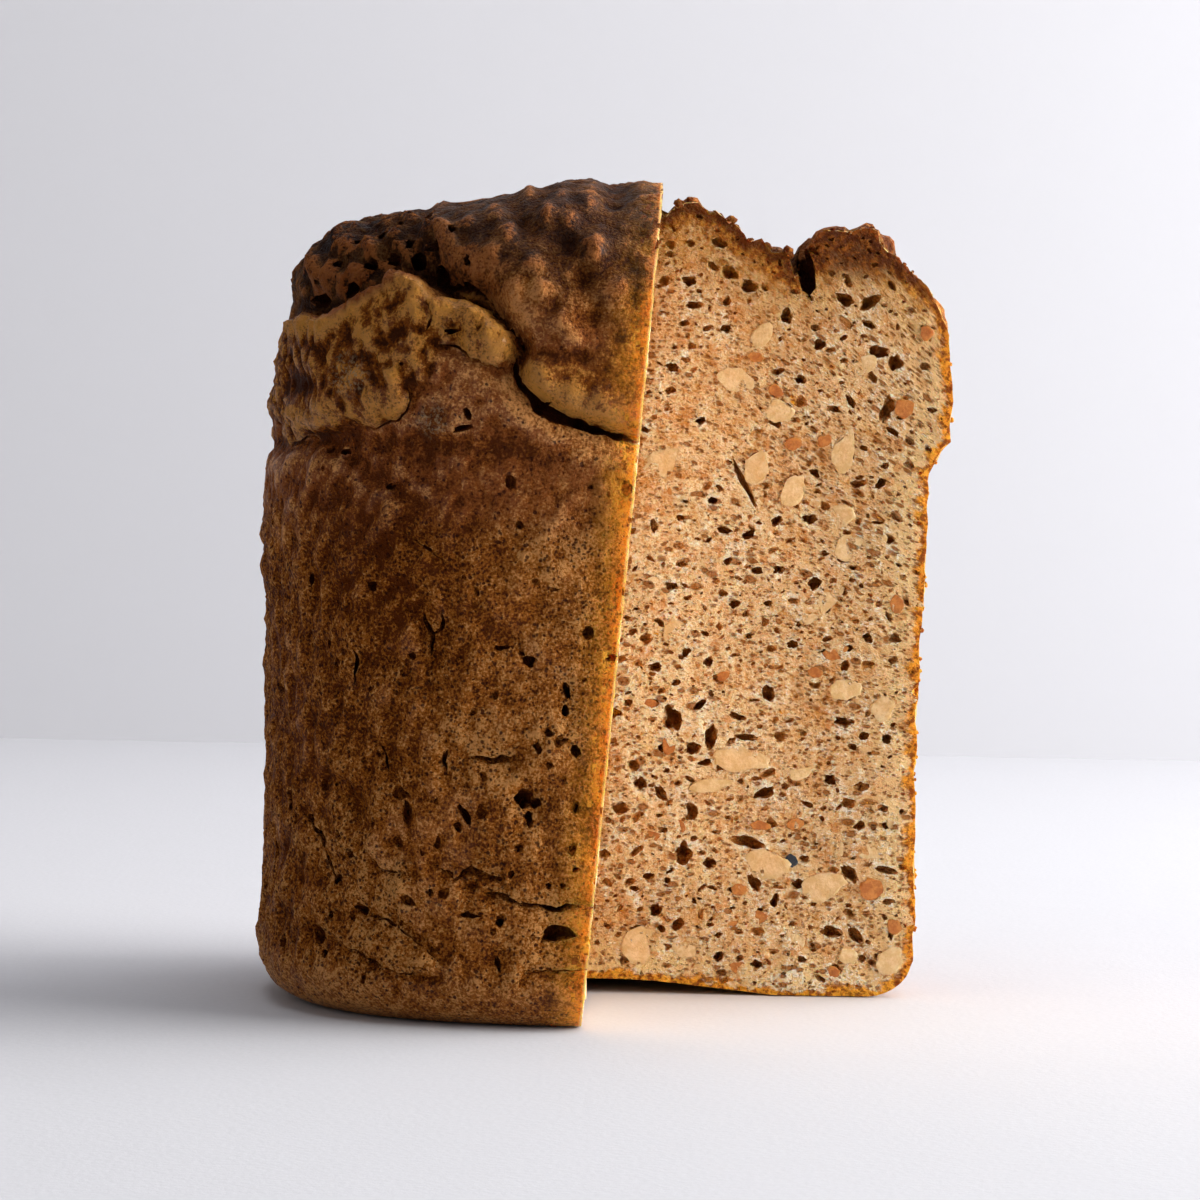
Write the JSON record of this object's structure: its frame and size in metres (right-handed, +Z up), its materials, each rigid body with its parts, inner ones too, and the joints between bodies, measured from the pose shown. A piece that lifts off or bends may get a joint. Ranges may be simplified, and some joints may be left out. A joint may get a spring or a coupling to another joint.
{
  "type": "bread loaf",
  "caption": "Tall tin-baked seeded bread loaf with a cracked, domed crown and one quarter cut out from crown to base, showing the open crumb.",
  "frame": {"origin": "on the plane that the loaf stands on, under the middle of its outer box", "axes": "+Z up out of the crown; X is the loaf's width and Y its depth; the missing quarter is the one at +X, -Y, with one cut face looking to -Y and the other to +X"},
  "size_m": [0.1321, 0.12, 0.1541],
  "materials": {
    "crust": "matte",
    "crumb": "matte",
    "kernels": "satin"
  },
  "bodies": {
    "root": {"bread_loaf": "crust"}
  },
  "joints": []
}
